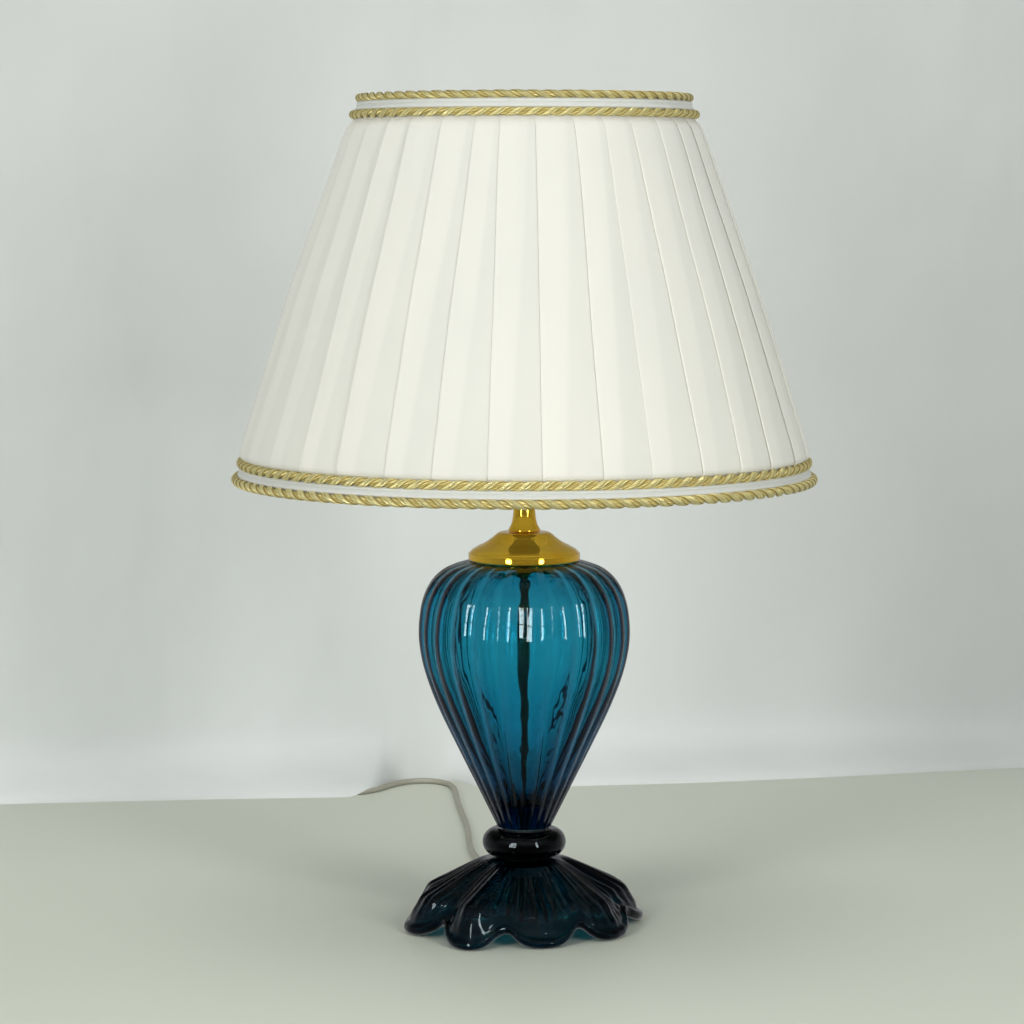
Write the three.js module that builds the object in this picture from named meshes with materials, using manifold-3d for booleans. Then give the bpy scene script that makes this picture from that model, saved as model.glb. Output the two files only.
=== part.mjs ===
// Table lamp: a blown, ribbed glass baluster on a ruffled glass foot, with a brass cap and neck,
// a pleated empire shade edged with twisted cord, a lampholder with its bulb, and a mains lead
// with an in-line rocker switch and a two-pin plug.
// Millimetres, +Z up. The origin is on the floor under the lamp's axis, and -Y is the front.

import * as THREE from 'three';
import { mergeVertices } from 'three/addons/utils/BufferGeometryUtils.js';
import Module from 'manifold-3d';

const wasm = await Module();
wasm.setup();

// ---- Driving dimensions ----

const GAP = 0.3; // between pieces that touch
const ROD_RADIUS = 5; // M10 threaded tube
const ROD_BORE = 3.5;
const ROD_HOLE = ROD_RADIUS + GAP; // the hole of metal pieces on the rod
const GLASS_HOLE = 5.8; // the hole of glass pieces on the rod

const FOOT_TOP = 42.8;
const FOOT_CROWN_RADIUS = 22;
const FOOT_WALL = 4.4;
const KNOP_HEIGHT = 52.4; // height of the knop's middle
const KNOP_RADIUS = 25.6;
const KNOP_ROUND = 8.4;
const BODY_BOTTOM = 62.2;
const BODY_TOP = 225.6;
const BODY_WALL = 4;
const BODY_RIBS = 24;
const BODY_RIB_DEPTH = 2;
const BODY_WIDEST = 64.6;
const CAP_RADIUS = 33.9;
const CAP_BOTTOM = 226.1;
const NECK_BOTTOM = 243.5;
const NECK_TOP = 268;

const HOLDER_RADIUS = 19.2;
const HOLDER_BOTTOM = NECK_TOP + GAP;
const HOLDER_TOP = 330;
const HOLDER_SPLIT = 288; // where the holder's sleeve screws into its cup
const SHADE_SEAT = 307.7; // top of the lower shade ring, which carries the shade's hub ring
const HUB_TOP = SHADE_SEAT + 2.1;
const WASHER_TOP = HUB_TOP + 1.3;
const BULB_CONTACT = 300.6; // lowest point of the bulb, screwed home
const BULB_RADIUS = 30;
const BULB_MIDDLE = 377;
const COLLAR_BOTTOM = 327.8; // of the bulb's tapered collar, above its screw shell
const COLLAR_TOP = 353.4;

const SHADE_BOTTOM = 275.2;
const SHADE_TOP = 505;
const LINER_BOTTOM_RADIUS = 169.6;
const LINER_TOP_RADIUS = 94.9;
const LINER_WALL = 0.8;
const PLEATS = 34;
const PLEAT_BULGE = 8; // how far the pleats stand off the liner at mid height
const PLEAT_STEP = 2.2; // how far a fold's edge stands over the next pleat
const FABRIC_PINCHED = 0.7; // the fabric's thickness where the trims hold it
const TRIM_RADIUS = 3.1; // of one twisted cord

const CORD_RADIUS = 2;
const CORD_SIDES = 8;
const COIL_MIDDLE = [-2, 543];
const COIL_INNER = 14.8;
const COIL_OUTER = 31.2;
const COIL_BOTTOM = 0.8;
const COIL_TOP = 9.2;
const SWITCH_MIDDLE = [-85, 513];
const SWITCH_LENGTH = 58;
const SWITCH_WIDTH = 22;
const SWITCH_HEIGHT = 16;
const PLUG_FACE = [-98, 573, 7]; // middle of the face that the pins stand on

// The lead's route, from the strain relief under the foot to the switch.
const LEAD_ROUTE = [
  [0, 38.6, 10.0], [0, 50, 8.3], [-0.5, 62, 6.3], [-2, 76, 4.0], [-5, 92, 2.5],
  [-10, 112, 2.1], [-20, 148, 2.1], [-29, 182, 2.1], [-35, 216, 2.1], [-37, 252, 2.1],
  [-38, 290, 2.1], [-41, 330, 2.1], [-45, 370, 2.1], [-48, 410, 2.1], [-49.5, 440, 2.1],
  [-51.5, 462, 2.1], [-58, 480, 2.1], [-73.5, 487.8, 2.1], [-89, 482.5, 2.1], [-99.5, 467.5, 2.1],
  [-108, 450, 2.1], [-121, 437, 2.1], [-137.5, 434, 2.1], [-151, 443.5, 2.1], [-156.5, 461, 2.1],
  [-154, 481, 2.1], [-145, 498.5, 2.2], [-131, 509.5, 3.4], [-114.5, 513, 5.5],
];
// From the switch to the coil, and from the coil to the plug.
const TAIL_ROUTE = [[-55.5, 513, 5.5], [-46, 513, 4.6], [-36, 513, 3.2], [-26, 512.8, 2.8], [-17.2, 512.8, 2.8]];
const END_ROUTE = [[-17.2, 573.2, 6.9], [-28, 573.1, 6.9], [-38.4, 573, 7]];

// ---- Materials ----

const paint = (color, roughness, metalness = 0) =>
  new THREE.MeshStandardMaterial({ color, roughness, metalness });
const tealGlass = new THREE.MeshStandardMaterial({
  color: 0x1c6478, roughness: 0.05, transparent: true, opacity: 0.6,
});
const darkGlass = paint(0x05141c, 0.05);
const brass = paint(0xd8b04a, 0.15, 1);
const zincSteel = paint(0xb4b6b8, 0.35, 1);
const fabric = paint(0xf2f1e8, 0.85);
const linerFilm = paint(0xf6f4ee, 0.6);
const goldCord = paint(0xd9b865, 0.45, 0.3);
const whiteTape = paint(0xf4f3ee, 0.8);
const whiteWire = paint(0xf0efe9, 0.4);
const blackPlastic = paint(0x1c1c1e, 0.4);
const ceramic = paint(0xe8e4da, 0.5);
const opal = paint(0xf5f3ee, 0.25);
const rubber = paint(0x26262a, 0.8);
const leadPlastic = paint(0xb5b19c, 0.5);
const clearPlastic = paint(0xd8dcd8, 0.3);

// ---- Shapes ----

const lamp = new THREE.Group();

/** Adds one named piece to the lamp, or to another group. */
function add(name, geometry, material, group = lamp) {
  const piece = new THREE.Mesh(geometry, material);
  piece.name = name;
  group.add(piece);
  return piece;
}

/** A solid turned about Z from a profile of [radius, height] pairs that goes anticlockwise:
 * up the outside, and down the inside or the axis. */
function turned(profile, segments, closed = true) {
  const points = profile.map(([radius, height]) => new THREE.Vector2(radius, height));
  if (closed) points.push(points[0].clone());
  return new THREE.LatheGeometry(points, segments).rotateX(Math.PI / 2);
}

/** Points of an arc in a profile, from one angle to another in degrees, both ends included. */
function arc(middle, radius, from, to, steps) {
  return Array.from({ length: steps + 1 }, (_, i) => {
    const angle = THREE.MathUtils.degToRad(from + ((to - from) * i) / steps);
    return [middle[0] + radius * Math.cos(angle), middle[1] + radius * Math.sin(angle)];
  });
}

/** A plain ring of rectangular section. */
function band(inner, outer, bottom, top, segments) {
  return turned([[inner, bottom], [outer, bottom], [outer, top], [inner, top]], segments);
}

/** A ring of round section, such as a wire ring or a cord round the shade. */
function hoop(radius, height, thickness, segments, sides) {
  return turned(arc([radius, height], thickness, 0, 360 - 360 / sides, sides - 1), segments);
}

/** A closed ring-shaped solid whose section changes with the angle round Z. Its section's points
 * go anticlockwise, and sectionAt(angle) gives them as [radius, height]. */
function loft(segments, sectionAt) {
  const sections = Array.from({ length: segments }, (_, j) => {
    const angle = (2 * Math.PI * j) / segments;
    return sectionAt(angle).map(([radius, height]) => [
      radius * Math.cos(angle), radius * Math.sin(angle), height,
    ]);
  });
  const count = sections[0].length;
  const index = [];
  for (let j = 0; j < segments; j += 1) {
    const next = (j + 1) % segments;
    for (let i = 0; i < count; i += 1) {
      const up = (i + 1) % count;
      const [a, b, c, d] = [j * count + i, next * count + i, next * count + up, j * count + up];
      index.push(a, b, c, a, c, d);
    }
  }
  const geometry = new THREE.BufferGeometry();
  geometry.setAttribute('position', new THREE.Float32BufferAttribute(sections.flat(2), 3));
  geometry.setIndex(index);
  return geometry;
}

/** An outline of [x, y] pairs, with optional round holes, pushed up from z = 0. */
function plate(outline, depth, holes = [], sides = 16) {
  const shape = new THREE.Shape(outline.map(([x, y]) => new THREE.Vector2(x, y)));
  for (const [x, y, radius] of holes) {
    shape.holes.push(new THREE.Path(circle(radius, sides).map((p) => p.add(new THREE.Vector2(x, y)))));
  }
  return new THREE.ExtrudeGeometry(shape, { depth, bevelEnabled: false });
}

function circle(radius, sides) {
  return Array.from({ length: sides }, (_, i) => {
    const angle = (2 * Math.PI * i) / sides;
    return new THREE.Vector2(radius * Math.cos(angle), radius * Math.sin(angle));
  });
}

/** A rectangle with round corners, middle at the origin. */
function roundedBox(length, width, corner, steps = 3) {
  const [x, y] = [length / 2 - corner, width / 2 - corner];
  const corners = [[x, y, 0], [-x, y, 90], [-x, -y, 180], [x, -y, 270]];
  return corners.flatMap(([cx, cy, from]) => arc([cx, cy], corner, from, from + 90, steps));
}

/** A round rod or tube's outside that follows a smooth curve through the points. */
function along(points, radius, sides, steps) {
  const path = new THREE.CatmullRomCurve3(points.map((p) => new THREE.Vector3(...p)));
  const shape = new THREE.Shape(circle(radius, sides));
  return new THREE.ExtrudeGeometry(shape, { steps, extrudePath: path, bevelEnabled: false });
}

/** The smooth curve through [radius, height] points, at the given number of steps. */
function smooth(points, steps) {
  const curve = new THREE.SplineCurve(points.map(([x, y]) => new THREE.Vector2(x, y)));
  return curve.getPoints(steps).map((p) => [p.x, p.y]);
}

/** A profile moved sideways by a distance, to the left of its direction. */
function offset(points, distance) {
  return points.map(([x, y], i) => {
    const [ax, ay] = points[Math.max(i - 1, 0)];
    const [bx, by] = points[Math.min(i + 1, points.length - 1)];
    const long = Math.hypot(bx - ax, by - ay);
    return [x - (distance * (by - ay)) / long, y + (distance * (bx - ax)) / long];
  });
}

function toSolid(geometry) {
  const bare = geometry.clone();
  bare.deleteAttribute('normal');
  bare.deleteAttribute('uv');
  const merged = mergeVertices(bare, 1e-4);
  return new wasm.Manifold(new wasm.Mesh({
    numProp: 3,
    vertProperties: merged.attributes.position.array,
    triVerts: new Uint32Array(merged.index.array),
  }));
}

function toGeometry(solid) {
  const { vertProperties, triVerts } = solid.getMesh();
  const geometry = new THREE.BufferGeometry();
  geometry.setAttribute('position', new THREE.BufferAttribute(new Float32Array(vertProperties), 3));
  geometry.setIndex(new THREE.BufferAttribute(new Uint32Array(triVerts), 1));
  return geometry;
}

/** The first geometry without the others. */
function cut(geometry, ...tools) {
  return toGeometry(tools.reduce((solid, tool) => solid.subtract(toSolid(tool)), toSolid(geometry)));
}

/** The geometries joined into one. */
function join(geometry, ...others) {
  return toGeometry(others.reduce((solid, other) => solid.add(toSolid(other)), toSolid(geometry)));
}

const cylinder = (radius, bottom, top, sides = 16) =>
  new THREE.CylinderGeometry(radius, radius, top - bottom, sides)
    .rotateX(Math.PI / 2).translate(0, 0, (bottom + top) / 2);

const block = (x0, x1, y0, y1, z0, z1) =>
  new THREE.BoxGeometry(x1 - x0, y1 - y0, z1 - z0)
    .translate((x0 + x1) / 2, (y0 + y1) / 2, (z0 + z1) / 2);

// ---- Ruffled glass foot ----

// Round the rim: where each lobe stands and how far it reaches, and the arch after it, with its
// reach and the height of its rim. Angles are in degrees, anticlockwise from +X.
const LOBES = [
  { lobe: 21, reach: 77, arch: 42, archReach: 64, rise: 12 },
  { lobe: 64, reach: 73, arch: 91, archReach: 62, rise: 13 },
  { lobe: 118, reach: 73, arch: 137, archReach: 62, rise: 11 },
  { lobe: 157, reach: 74, arch: 177, archReach: 63, rise: 11 },
  { lobe: 197, reach: 76, arch: 221, archReach: 62, rise: 12 },
  { lobe: 243, reach: 80, arch: 259, archReach: 63, rise: 12.5 },
  { lobe: 281, reach: 68, arch: 303, archReach: 60, rise: 13 },
  { lobe: 324, reach: 70, arch: 352, archReach: 62, rise: 11 },
];
// How the skirt falls from its crown to its rim: share of the reach, share of the height.
const SKIRT = [[0, 1], [0.16, 0.9], [0.6, 0.57], [0.84, 0.38], [0.96, 0.18], [1, 0]];

/** The rim's reach and height at an angle: broad round lobes with narrower arches between. */
function rimAt(angle) {
  const degrees = (THREE.MathUtils.radToDeg(angle) + 360) % 360;
  const marks = LOBES.flatMap(({ lobe, reach, arch, archReach, rise }) => [
    { at: lobe, reach, height: 0 }, { at: arch, reach: archReach, height: rise },
  ]);
  const after = marks.findIndex((mark) => mark.at > degrees);
  const next = marks[after === -1 ? 0 : after];
  const last = marks[(after === -1 ? 0 : after) === 0 ? marks.length - 1 : after - 1];
  const span = (next.at - last.at + 360) % 360;
  const share = ((degrees - last.at + 360) % 360) / span;
  const [lobe, arch, away] = last.height === 0 ? [last, next, share] : [next, last, 1 - share];
  return {
    reach: THREE.MathUtils.lerp(lobe.reach, arch.reach, away ** 2),
    height: arch.height * away ** 3,
  };
}

function footSection(angle) {
  const { reach, height } = rimAt(angle);
  const low = height - 0.6; // the lobes are ground flat at z = 0
  const outside = SKIRT.map(([out, up]) => [
    FOOT_CROWN_RADIUS + (reach - FOOT_CROWN_RADIUS) * out, low + (FOOT_TOP - low) * up,
  ]).reverse();
  const inside = offset(outside.slice(1), FOOT_WALL).reverse();
  inside[0] = [inside[0][0], FOOT_TOP - FOOT_WALL];
  const lip = [reach - FOOT_WALL, low];
  return [
    ...outside, [GLASS_HOLE, FOOT_TOP], [GLASS_HOLE, FOOT_TOP - FOOT_WALL], ...inside, lip,
  ];
}

const FOOT_SEGMENTS = 60;
const underFloor = block(-100, 100, -100, 100, -10, 0);
add('glass_foot', cut(loft(FOOT_SEGMENTS, footSection), underFloor), darkGlass);

// ---- Knop between foot and body, and the clear seats that part the glass pieces ----

const knopTop = KNOP_HEIGHT + KNOP_ROUND;
const knopBottom = KNOP_HEIGHT - KNOP_ROUND;
const SEAT_OUTER = 12.5;
add('glass_knop', turned([
  [GLASS_HOLE, knopBottom + 0.4], [SEAT_OUTER, knopBottom + 0.4],
  ...arc([KNOP_RADIUS - KNOP_ROUND, KNOP_HEIGHT], KNOP_ROUND, -90, 90, 6),
  [SEAT_OUTER, knopTop - 0.4], [GLASS_HOLE, knopTop - 0.4],
], 28), darkGlass);
add('foot_seat_washer', band(ROD_HOLE, SEAT_OUTER, FOOT_TOP + GAP, knopBottom + 0.1, 16), clearPlastic);
add('body_seat_washer', band(ROD_HOLE, SEAT_OUTER, knopTop - 0.1, BODY_BOTTOM - GAP, 16), clearPlastic);

// ---- Ribbed glass body ----

const BODY_OUTSIDE = [
  [16.4, BODY_BOTTOM], [19.8, 69], [29.1, 87.9], [41.4, 112.7], [53.2, 137.5], [60.5, 157.3],
  [64, 173], [BODY_WIDEST, 186], [62.3, 201.5], [56.6, 213.2], [47.6, 221], [34, BODY_TOP],
];
const BODY_MOUTH = 20; // radius of the opening under the cap
const CAVITY_BOTTOM = [11, 79]; // where the solid glass under the cavity begins

const bodyOutside = smooth(BODY_OUTSIDE, 11);
const bodyInside = [
  ...offset(smooth(BODY_OUTSIDE.slice(2), 5), BODY_WALL).slice(1), [BODY_MOUTH + 6, BODY_TOP - BODY_WALL],
].reverse();

/** How deep the flute between two ribs is cut, from 0 on a rib's crest to 1. */
function flute(angle) {
  const wave = Math.cos((BODY_RIBS / 2) * (angle + Math.PI / 2) + Math.PI / 2);
  return 1 - Math.sqrt(wave * wave + 0.04) / Math.sqrt(1.04);
}

function bodySection(angle) {
  const outside = bodyOutside.map(([radius, height], i) => {
    const fade = i === 0 || i === bodyOutside.length - 1 ? 0.4 : 1;
    return [radius * (1 - (fade * flute(angle) * BODY_RIB_DEPTH) / BODY_WIDEST), height];
  });
  return [
    [GLASS_HOLE, BODY_BOTTOM], ...outside, [BODY_MOUTH, BODY_TOP], [BODY_MOUTH, BODY_TOP - BODY_WALL],
    ...bodyInside, CAVITY_BOTTOM, [GLASS_HOLE, CAVITY_BOTTOM[1]],
  ];
}
add('glass_body', loft(BODY_RIBS * 3, bodySection), tealGlass);

// ---- Brass cap and neck ----

const CAP_WALL = 1.1;
const CAP_TOP = NECK_BOTTOM - GAP;
const BAND_TOP = 229; // of the cap's upright rim
const CAP_OUTSIDE = [
  [CAP_RADIUS, CAP_BOTTOM], [CAP_RADIUS, BAND_TOP], [33.2, 230.2], [31.4, 232.2], [24, 236.4],
  [17.6, 241.6], [15.6, 242.9], [10.5, CAP_TOP],
];
add('brass_cap', turned([
  ...CAP_OUTSIDE, [ROD_HOLE, CAP_TOP], [ROD_HOLE, CAP_TOP - CAP_WALL], [12.6, 241.4],
  [24, 234.9], [CAP_RADIUS - CAP_WALL, BAND_TOP], [CAP_RADIUS - CAP_WALL, CAP_BOTTOM],
], 32), brass);
add('brass_neck', turned([
  [ROD_HOLE, NECK_BOTTOM], [9.7, NECK_BOTTOM], [9.9, 244.4], [8.7, 246.5], [7.2, 251], [6.4, 257],
  [6.4, NECK_TOP], [ROD_HOLE, NECK_TOP],
], 20), brass);

// ---- Threaded tube and what clamps the stack from below ----

const ROD_BOTTOM = 22;
const ROD_TOP = 283;
add('threaded_tube', band(ROD_BORE, ROD_RADIUS, ROD_BOTTOM, ROD_TOP, 16), brass);
add('inner_lead', cylinder(CORD_RADIUS, ROD_BOTTOM + GAP, ROD_TOP + 2, 10), leadPlastic);
const footInside = FOOT_TOP - FOOT_WALL;
add('foot_gasket', band(ROD_HOLE, 15, footInside - 1.8, footInside - GAP, 16), rubber);
add('foot_washer', band(ROD_HOLE, 14, footInside - 3.5, footInside - 2.1, 16), zincSteel);
const nutBottom = footInside - 8.8;
add('foot_nut', plate(circle(9.8, 6).map((p) => [p.x, p.y]), 5, [[0, 0, ROD_HOLE]])
  .translate(0, 0, nutBottom), zincSteel);

// ---- Side outlet and strain relief where the lead leaves ----

const OUTLET_HEIGHT = 11.6;
const outletBody = join(
  cylinder(8, 5.5, nutBottom - GAP),
  cylinder(5, 0, 14.3, 12).rotateX(-Math.PI / 2).translate(0, 0, OUTLET_HEIGHT),
);
add('cord_outlet', cut(outletBody, cylinder(ROD_HOLE, ROD_BOTTOM - GAP, 40)), blackPlastic);
const RELIEF_LENGTH = 23.7;
const relief = add('strain_relief', turned([
  [0, 0], [4.6, 0], [4.6, 3], [3.9, 4], [2.7, RELIEF_LENGTH], [0, RELIEF_LENGTH],
], 12, false), blackPlastic);
relief.position.set(0, 14.6, OUTLET_HEIGHT);
relief.rotation.set(-Math.PI / 2 - 0.066, 0, 0);

// ---- Lampholder ----

add('holder_cup', turned([
  [ROD_HOLE, HOLDER_BOTTOM], [12, HOLDER_BOTTOM], [16, 271], [18.4, 276], [HOLDER_RADIUS, 283],
  [HOLDER_RADIUS, HOLDER_SPLIT - GAP], [17.6, HOLDER_SPLIT - GAP], [17.6, 283], [15, 273.5], [11, 270.3], [ROD_HOLE, 270.3],
], 20), blackPlastic);
const threads = Array.from({ length: 3 }, (_, i) => 294 + 12 * i).flatMap((z) => [
  [HOLDER_RADIUS, z], [HOLDER_RADIUS - 0.7, z + 1.1], [HOLDER_RADIUS - 0.7, z + 2], [HOLDER_RADIUS, z + 3.1],
]);
add('holder_sleeve', turned([
  [17.2, HOLDER_SPLIT], [HOLDER_RADIUS, HOLDER_SPLIT], ...threads, [HOLDER_RADIUS, HOLDER_TOP], [17.2, HOLDER_TOP],
], 20), blackPlastic);
add('holder_insulator', turned([
  [0, 286], [16.8, 286], [16.8, 299.4], [9, 299.4], [9, 297.4], [0, 297.4],
], 16, false), ceramic);
add('holder_screw_shell', band(13.5, 14.1, 299.7, 326, 24), brass);
add('holder_contact', block(-6, 6, -2.2, 2.2, 297.7, 300.2), brass);
add('shade_ring_lower', band(HOLDER_RADIUS + GAP, 24, SHADE_SEAT - 4.5, SHADE_SEAT, 20), blackPlastic);

// ---- Bulb ----

const bulbStep = BULB_CONTACT + 1.2;
add('bulb_contact', turned([
  [0, BULB_CONTACT], [3.4, BULB_CONTACT], [4.8, BULB_CONTACT + 0.9], [0, BULB_CONTACT + 0.9],
], 12, false), zincSteel);
add('bulb_insulator', turned([
  [0, bulbStep], [5.2, bulbStep], [11, bulbStep + 2.4], [0, bulbStep + 2.4],
], 16, false), rubber);
const shellBottom = bulbStep + 2.7;
const bulbThread = Array.from({ length: 2 }, (_, i) => shellBottom + 2.2 + 7.26 * i).flatMap((z) => [
  [12.3, z], [13.1, z + 1.2], [13.1, z + 1.8], [12.3, z + 3],
]);
add('bulb_screw_shell', turned([
  [0, shellBottom], [11.4, shellBottom], ...bulbThread, [12.6, COLLAR_BOTTOM - GAP], [0, COLLAR_BOTTOM - GAP],
], 20, false), brass);
add('bulb_collar', turned([
  [0, COLLAR_BOTTOM], [13.2, COLLAR_BOTTOM], [14.6, 331], [17.6, 342], [22.4, COLLAR_TOP], [0, COLLAR_TOP],
], 20, false), opal);
add('bulb_globe', turned([
  [0, COLLAR_TOP + GAP], [22, COLLAR_TOP + GAP], [25.2, 358.8], ...arc([0, BULB_MIDDLE], BULB_RADIUS, -24, 90, 7),
], 24, false), opal);

// ---- What clamps the shade: a free washer under a ring nut ----

add('ring_washer', band(HOLDER_RADIUS + GAP, 25, HUB_TOP + GAP, WASHER_TOP, 20), zincSteel);
const ringBottom = WASHER_TOP + GAP;
add('shade_ring_upper', turned([
  [HOLDER_RADIUS + GAP, ringBottom], [24.6, ringBottom], [24.6, ringBottom + 3.2],
  [22.6, ringBottom + 5.6], [HOLDER_RADIUS + GAP, ringBottom + 5.6],
], 20), blackPlastic);

// ---- Shade frame ----

const ARMS = 3;
const HUB_OUTER = 27;
const WIRE = 1.6;
const BOTTOM_WIRE_RADIUS = LINER_BOTTOM_RADIUS - LINER_WALL - WIRE - 2;
const BOTTOM_WIRE_HEIGHT = SHADE_BOTTOM + WIRE + 2;
const TOP_WIRE_RADIUS = LINER_TOP_RADIUS - LINER_WALL - WIRE - 0.6;
const TOP_WIRE_HEIGHT = SHADE_TOP - WIRE - 0.4;
add('shade_hub_ring', band(20.4, HUB_OUTER, SHADE_SEAT + GAP, HUB_TOP, 24), whiteWire);
for (let i = 0; i < ARMS; i += 1) {
  const arm = along([
    [HUB_OUTER + GAP, 0, HUB_TOP - 0.8], [40, 0, HUB_TOP - 1.2], [90, 0, 297],
    [BOTTOM_WIRE_RADIUS - WIRE - GAP, 0, BOTTOM_WIRE_HEIGHT],
  ], WIRE, 8, 8);
  add(`shade_arm_${i + 1}`, arm, whiteWire).rotation.z = (2 * Math.PI * i) / ARMS + Math.PI / 6;
}
add('shade_bottom_wire', hoop(BOTTOM_WIRE_RADIUS, BOTTOM_WIRE_HEIGHT, WIRE, 48, 5), whiteWire);
add('shade_top_wire', hoop(TOP_WIRE_RADIUS, TOP_WIRE_HEIGHT, WIRE, 36, 5), whiteWire);

// ---- Shade liner, pleated cover and trims ----

const linerRadius = (z) => THREE.MathUtils.mapLinear(
  z, SHADE_BOTTOM, SHADE_TOP, LINER_BOTTOM_RADIUS, LINER_TOP_RADIUS,
);
add('shade_liner', turned([
  [linerRadius(SHADE_BOTTOM), SHADE_BOTTOM], [linerRadius(SHADE_TOP), SHADE_TOP],
  [linerRadius(SHADE_TOP) - LINER_WALL, SHADE_TOP],
  [linerRadius(SHADE_BOTTOM) - LINER_WALL, SHADE_BOTTOM],
], 48), linerFilm);

// The pleats are pinched flat under the trims, and stand free between them. Shares of the height.
const PINCHED = 0.066;
const FREE = 0.1;
const COVER_STEPS = [0, PINCHED, FREE, 1 - FREE, 1 - PINCHED, 1];
const PLEAT_POINTS = 3;
function coverSection(angle, j) {
  const lift = 1 - (j % PLEAT_POINTS) / (PLEAT_POINTS - 1); // 1 on a fold's edge, 0 beside the next
  const outside = COVER_STEPS.map((share) => {
    const z = THREE.MathUtils.lerp(SHADE_BOTTOM, SHADE_TOP, share);
    const pinched = Math.min(share, 1 - share) < FREE;
    const standOff = pinched ? FABRIC_PINCHED : PLEAT_BULGE - 2 * share - PLEAT_STEP * (1 - lift);
    return [linerRadius(z) + GAP + standOff, z];
  });
  const inside = [SHADE_TOP, SHADE_BOTTOM].map((z) => [linerRadius(z) + GAP, z]);
  return [...outside, ...inside];
}
add('shade_pleated_cover', loft(PLEATS * PLEAT_POINTS, (angle) =>
  coverSection(angle, Math.round((angle * PLEATS * PLEAT_POINTS) / (2 * Math.PI)))), fabric);

// Each edge has two twisted cords, one over the other, with a flat tape between them.
const TRIM_STAND_OFF = 2 * GAP + FABRIC_PINCHED + TRIM_RADIUS + 0.9; // liner to a cord's middle
const TRIM_SPACING = 10; // height between the two cords' middles
const TRIMS = { bottom: SHADE_BOTTOM + 1, top: SHADE_TOP - 0.4 - TRIM_SPACING };
const TAPE_WALL = 1;
const TRIM_SEGMENTS = 36;
for (const [name, height] of Object.entries(TRIMS)) {
  for (const [part, z] of [['lower', height], ['upper', height + TRIM_SPACING]]) {
    const ring = hoop(linerRadius(z) + TRIM_STAND_OFF, z, TRIM_RADIUS, TRIM_SEGMENTS, 6);
    add(`${name}_trim_${part}_cord`, ring, goldCord);
  }
  const low = height + TRIM_RADIUS + GAP;
  const high = height + TRIM_SPACING - TRIM_RADIUS - GAP;
  const face = TRIM_STAND_OFF - TRIM_RADIUS + TAPE_WALL;
  add(`${name}_trim_tape`, turned([
    [linerRadius(low) + face, low], [linerRadius(high) + face, high],
    [linerRadius(high) + face - TAPE_WALL, high], [linerRadius(low) + face - TAPE_WALL, low],
  ], TRIM_SEGMENTS), whiteTape);
}

// ---- Lead, coil and tie ----

add('cord_lead', along(LEAD_ROUTE, CORD_RADIUS, CORD_SIDES, 56), leadPlastic);
add('cord_tail', along(TAIL_ROUTE, CORD_RADIUS, CORD_SIDES, 4), leadPlastic);
add('cord_end', along(END_ROUTE, CORD_RADIUS, CORD_SIDES, 2), leadPlastic);
add('cord_coil', band(COIL_INNER, COIL_OUTER, COIL_BOTTOM, COIL_TOP, 32)
  .translate(COIL_MIDDLE[0], COIL_MIDDLE[1], 0), leadPlastic);
const TIE_WALL = 0.5;
const TIE_WIDTH = 6;
const coilChord = (x) => Math.sqrt(x * x - (TIE_WIDTH / 2) ** 2); // the ring's edge at the tie's side
const tieInner = coilChord(COIL_INNER) - GAP;
const tieOuter = COIL_OUTER + GAP;
const tie = cut(
  block(tieInner - TIE_WALL, tieOuter + TIE_WALL, -TIE_WIDTH / 2, TIE_WIDTH / 2, 0, COIL_TOP + GAP + TIE_WALL),
  block(tieInner, tieOuter, -TIE_WIDTH, TIE_WIDTH, TIE_WALL, COIL_TOP + GAP),
);
add('coil_tie', tie, blackPlastic).position.set(COIL_MIDDLE[0], COIL_MIDDLE[1], 0);

// ---- In-line rocker switch ----

const switchGroup = new THREE.Group();
switchGroup.position.set(SWITCH_MIDDLE[0], SWITCH_MIDDLE[1], 0);
lamp.add(switchGroup);
const SWITCH_SPLIT = 8; // height where the base meets the cover
const SWITCH_WALL = 1.8;
const switchOutline = roundedBox(SWITCH_LENGTH, SWITCH_WIDTH, 7);
const switchInside = roundedBox(SWITCH_LENGTH - 2 * SWITCH_WALL, SWITCH_WIDTH - 2 * SWITCH_WALL, 5.2);
const cordHole = cylinder(CORD_RADIUS + GAP, -40, 40, 12).rotateY(Math.PI / 2).translate(0, 0, 5.5);
add('switch_base', cut(
  plate(switchOutline, SWITCH_SPLIT - GAP / 2),
  plate(switchInside, 20).translate(0, 0, SWITCH_WALL), cordHole,
), leadPlastic, switchGroup);
const ROCKER_LENGTH = 20;
const ROCKER_WIDTH = 11;
const ROCKER_AXIS = 12.6;
add('switch_cover', cut(
  plate(switchOutline, SWITCH_HEIGHT - SWITCH_SPLIT - GAP / 2).translate(0, 0, SWITCH_SPLIT + GAP / 2),
  plate(switchInside, SWITCH_HEIGHT - SWITCH_SPLIT - SWITCH_WALL).translate(0, 0, SWITCH_SPLIT),
  block(-ROCKER_LENGTH / 2 - 0.6, ROCKER_LENGTH / 2 + 0.6, -ROCKER_WIDTH / 2 - 0.5, ROCKER_WIDTH / 2 + 0.5, 10, 20),
), leadPlastic, switchGroup);
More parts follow.
